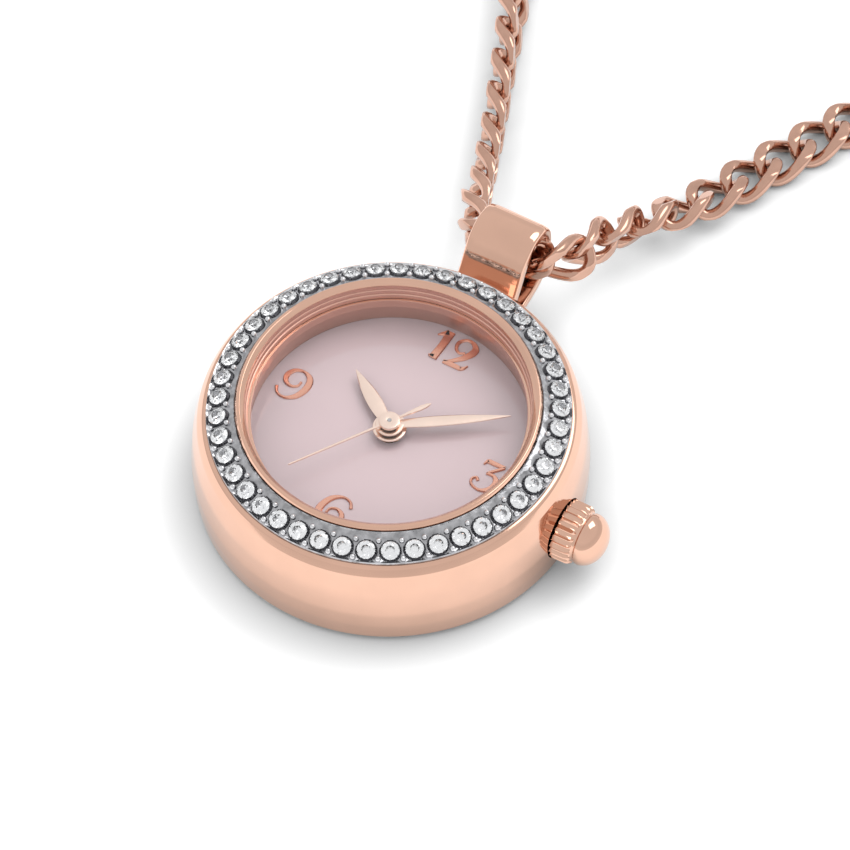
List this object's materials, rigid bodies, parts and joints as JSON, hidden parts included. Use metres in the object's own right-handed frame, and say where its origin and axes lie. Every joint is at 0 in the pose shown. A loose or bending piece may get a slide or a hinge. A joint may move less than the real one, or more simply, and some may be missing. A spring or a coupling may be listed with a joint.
{
  "type": "pendant watch",
  "caption": "Round quartz pendant watch with a stone-set bezel, a fixed strap bail at twelve, a fluted crown at three and a curb-link neck chain with a lobster clasp.",
  "frame": {"origin": "centre of the case back's flat outer face", "axes": "+Z out of the dial, +Y to twelve o'clock and the bail, +X to three o'clock and the crown"},
  "size_m": [0.0518, 0.1309, 0.0098],
  "materials": {
    "rose_gold": "polished rose gold plating on steel",
    "rhodium": "polished grey rhodium plating",
    "stones": "clear faceted stones",
    "crystal": "clear polished mineral glass",
    "pearl": "pale pink mother of pearl",
    "gold_trim": "polished rose gold plating",
    "chain_gold": "polished rose gold plating, filed flat",
    "nickel": "fine-brushed nickel plating",
    "train_brass": "polished brass",
    "steel": "fine-ground steel",
    "magnet": "dark sintered magnet on a steel pinion",
    "copper": "enamelled copper wire",
    "board": "green laminate",
    "can": "drawn metal can",
    "spacer": "moulded off-white plastic",
    "gasket": "black rubber"
  },
  "bodies": {
    "case": {"case_middle": "rose_gold", "bail": "rose_gold", "stone_bezel": "rhodium", "bezel_stones": "stones", "crystal_ring": "rose_gold", "crystal_gasket": "gasket", "crystal": "crystal", "dial_ring": "rose_gold", "dial": "pearl", "dial_numerals": "gold_trim", "main_plate": "nickel", "train_bridge": "nickel", "bridge_screws": "steel", "circuit_board": "board", "quartz_can": "can", "battery": "steel", "battery_strap": "steel", "stator": "steel", "coil_core": "steel", "drive_coil": "copper", "movement_ring": "spacer", "crown_tube": "steel", "case_back": "rose_gold", "case_back_gasket": "gasket", "chain_right_run": "chain_gold", "chain_left_run": "chain_gold", "chain_coil": "chain_gold", "jump_ring": "chain_gold", "end_ring": "chain_gold", "clasp_body": "chain_gold", "clasp_pin": "chain_gold"},
    "setting_slide": {"setting_lever": "steel"},
    "crown_set": {"stem": "steel", "crown": "rose_gold", "crown_gasket": "gasket"},
    "stop_arm": {"stop_lever": "steel"},
    "minute_set": {"cannon_pinion": "steel", "minute_hand": "gold_trim"},
    "hour_set": {"hour_wheel": "train_brass", "hour_hand": "gold_trim"},
    "minute_wheel_body": {"minute_wheel": "train_brass"},
    "setting_wheel_body": {"setting_wheel": "steel"},
    "rotor_body": {"rotor": "magnet"},
    "intermediate_body": {"intermediate_wheel": "train_brass"},
    "seconds_set": {"seconds_wheel": "steel", "seconds_hand": "gold_trim"},
    "third_body": {"third_wheel": "train_brass"},
    "centre_body": {"centre_wheel": "train_brass"},
    "clasp_catch": {"clasp_lever": "chain_gold"}
  },
  "joints": [
    {"name": "stem_pull", "type": "slide", "parent": "case", "child": "setting_slide", "axis": [1, 0, 0], "range_m": [0, 0.0009]},
    {"name": "crown_turn", "type": "hinge", "parent": "setting_slide", "child": "crown_set", "pos_m": [0.0165, 0, 0.00365], "axis": [1, 0, 0], "continuous": true},
    {"name": "stop_swing", "type": "hinge", "parent": "case", "child": "stop_arm", "pos_m": [0.0054, 0.0034, 0.00225], "axis": [0, 0, 1], "range_deg": [0, 24.8]},
    {"name": "minute_turn", "type": "hinge", "parent": "case", "child": "minute_set", "pos_m": [0, 0, 0.005], "axis": [0, 0, 1], "continuous": true},
    {"name": "hour_turn", "type": "hinge", "parent": "case", "child": "hour_set", "pos_m": [0, 0, 0.005], "axis": [0, 0, 1], "continuous": true},
    {"name": "minute_wheel_turn", "type": "hinge", "parent": "case", "child": "minute_wheel_body", "pos_m": [0.002, 0, 0.005], "axis": [0, 0, 1], "continuous": true},
    {"name": "setting_wheel_turn", "type": "hinge", "parent": "case", "child": "setting_wheel_body", "pos_m": [0.0043, 0, 0.005], "axis": [0, 0, 1], "continuous": true},
    {"name": "rotor_turn", "type": "hinge", "parent": "case", "child": "rotor_body", "pos_m": [-0.00488, -0.00242, 0.003], "axis": [0, 0, 1], "continuous": true},
    {"name": "intermediate_turn", "type": "hinge", "parent": "case", "child": "intermediate_body", "pos_m": [-0.00296, -0.00108, 0.003], "axis": [0, 0, 1], "continuous": true},
    {"name": "seconds_turn", "type": "hinge", "parent": "case", "child": "seconds_set", "pos_m": [0, 0, 0.003], "axis": [0, 0, 1], "continuous": true},
    {"name": "third_turn", "type": "hinge", "parent": "case", "child": "third_body", "pos_m": [-0.00056, 0.00315, 0.003], "axis": [0, 0, 1], "continuous": true},
    {"name": "centre_turn", "type": "hinge", "parent": "case", "child": "centre_body", "pos_m": [0, 0, 0.003], "axis": [0, 0, 1], "continuous": true},
    {"name": "clasp_press", "type": "hinge", "parent": "case", "child": "clasp_catch", "pos_m": [0.00578, 0.10043, 0.00157], "axis": [0.0886, 0.0093, 0.996], "range_deg": [-22, 0], "stiffness_Nm_per_rad": 0.0001}
  ],
  "couplings": [
    {"joint": "stop_swing", "follows": "stem_pull", "rad_per_m": 480.3},
    {"joint": "hour_turn", "follows": "minute_turn", "ratio": 0.083333},
    {"joint": "minute_wheel_turn", "follows": "minute_turn", "ratio": -0.33333},
    {"joint": "setting_wheel_turn", "follows": "minute_turn", "ratio": 0.625},
    {"joint": "intermediate_turn", "follows": "rotor_turn", "ratio": -0.2},
    {"joint": "seconds_turn", "follows": "rotor_turn", "ratio": 0.033333},
    {"joint": "third_turn", "follows": "rotor_turn", "ratio": -0.0044444},
    {"joint": "centre_turn", "follows": "rotor_turn", "ratio": 0.00055556}
  ]
}
